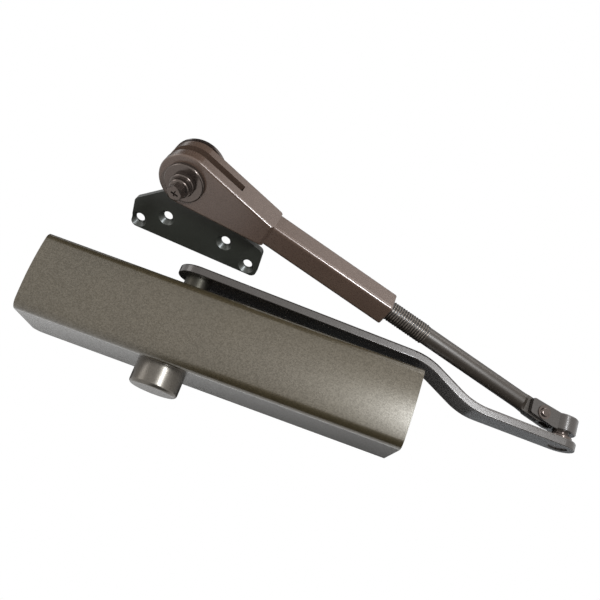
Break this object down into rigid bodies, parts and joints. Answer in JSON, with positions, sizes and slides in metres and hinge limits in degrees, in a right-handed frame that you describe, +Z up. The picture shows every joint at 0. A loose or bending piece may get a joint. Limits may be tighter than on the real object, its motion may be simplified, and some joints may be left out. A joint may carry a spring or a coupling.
{
  "type": "door closer",
  "caption": "Surface door closer: crowned box cover over a rack-and-pinion body, joggled main arm, screwed forearm and a hold-open fork clamping a flat soffit shoe.",
  "frame": {"origin": "centre of the body's four mounting holes, on the face that meets the door", "axes": "+X along the cover towards the elbow, +Y into the door, +Z up along the spindle"},
  "size_m": [0.4491, 0.1179, 0.1803],
  "materials": {
    "bronze_cover": "gloss metallic bronze powder coat",
    "bronze_arm": "gloss metallic bronze powder coat",
    "bronze_cap": "moulded, bronze coloured",
    "dark_shoe": "dark bronze coat",
    "bronze_hardware": "bronze plated steel",
    "plain_steel": "turned steel",
    "spring_steel": "oil tempered wire",
    "cast_body": "die cast",
    "seal_rubber": "moulded",
    "friction_fibre": "pressed fibre"
  },
  "bodies": {
    "closer": {"body": "cast_body", "cover": "bronze_cover", "spindle_cap": "bronze_cap", "cover_screws": "plain_steel", "pinion_bearings": "plain_steel", "pinion_seals": "seal_rubber", "gland_nuts": "plain_steel", "main_spring": "spring_steel", "end_plug_left": "plain_steel", "end_plug_right": "plain_steel", "plug_seals": "seal_rubber"},
    "spindle": {"pinion_shaft": "plain_steel", "main_arm": "bronze_arm", "arm_washer": "plain_steel", "arm_screw": "plain_steel", "elbow_pin": "bronze_hardware"},
    "piston": {"piston": "plain_steel", "check_ball": "plain_steel"},
    "power_screw": {"power_screw": "plain_steel"},
    "spring_seat": {"spring_seat": "plain_steel"},
    "backcheck_valve": {"backcheck_valve": "plain_steel"},
    "closing_valve": {"closing_valve": "plain_steel"},
    "latching_valve": {"latching_valve": "plain_steel"},
    "knuckle": {"knuckle": "bronze_arm", "cross_pin": "bronze_hardware"},
    "rod": {"rod": "bronze_arm"},
    "forearm": {"forearm": "bronze_arm", "friction_discs": "friction_fibre", "flat_washer": "bronze_hardware", "boss_washer": "bronze_hardware", "lock_washer": "bronze_hardware", "rear_washer": "bronze_hardware", "hold_nut": "plain_steel"},
    "hold_bolt": {"hold_bolt": "bronze_hardware"},
    "shoe": {"shoe": "dark_shoe"}
  },
  "joints": [
    {"name": "spindle_turn", "type": "hinge", "parent": "closer", "child": "spindle", "pos_m": [-0.0375, -0.035, 0], "axis": [0, 0, 1], "range_deg": [-170, 0], "stiffness_Nm_per_rad": 3, "springref_deg": 34.38},
    {"name": "piston_slide", "type": "slide", "parent": "closer", "child": "piston", "axis": [1, 0, 0], "range_m": [0, 0.0297], "deforming": ["main_spring"]},
    {"name": "elbow_turn", "type": "hinge", "parent": "spindle", "child": "knuckle", "pos_m": [0.28091, -0.01553, 0], "axis": [0, 0, 1], "range_deg": [0, 160]},
    {"name": "elbow_tilt", "type": "hinge", "parent": "knuckle", "child": "rod", "pos_m": [0.25798, -0.02069, 0.0425], "axis": [-0.2198, 0.9755, 0], "range_deg": [0, 20]},
    {"name": "forearm_length", "type": "slide", "parent": "rod", "child": "forearm", "axis": [-0.9586, -0.216, 0.1857], "range_m": [-0.03, 0.03]},
    {"name": "shoe_swing", "type": "hinge", "parent": "forearm", "child": "shoe", "pos_m": [-0.06401, -0.09325, 0.10486], "axis": [0.0445, 0.5303, 0.8466], "range_deg": [-2, 150]},
    {"name": "hold_open_turn", "type": "hinge", "parent": "forearm", "child": "hold_bolt", "pos_m": [-0.06401, -0.09325, 0.10486], "axis": [0.0445, 0.5303, 0.8466], "range_deg": [-180, 180]},
    {"name": "power_turn", "type": "hinge", "parent": "closer", "child": "power_screw", "pos_m": [0.112, -0.035, 0], "axis": [1, 0, 0], "range_deg": [0, 2376]},
    {"name": "seat_slide", "type": "slide", "parent": "closer", "child": "spring_seat", "axis": [1, 0, 0], "range_m": [-0.0099, 0], "deforming": ["main_spring"]},
    {"name": "backcheck_turn", "type": "hinge", "parent": "closer", "child": "backcheck_valve", "pos_m": [-0.1, -0.0595, 0.0215], "axis": [0, 1, 0], "range_deg": [-360, 360]},
    {"name": "closing_turn", "type": "hinge", "parent": "closer", "child": "closing_valve", "pos_m": [-0.086, -0.0595, 0.0215], "axis": [0, 1, 0], "range_deg": [-360, 360]},
    {"name": "latching_turn", "type": "hinge", "parent": "closer", "child": "latching_valve", "pos_m": [-0.072, -0.0595, 0.0215], "axis": [0, 1, 0], "range_deg": [-360, 360]}
  ],
  "couplings": [
    {"joint": "piston_slide", "follows": "spindle_turn", "m_per_rad": -0.01},
    {"joint": "power_turn", "follows": "seat_slide", "rad_per_m": -4188.8}
  ]
}
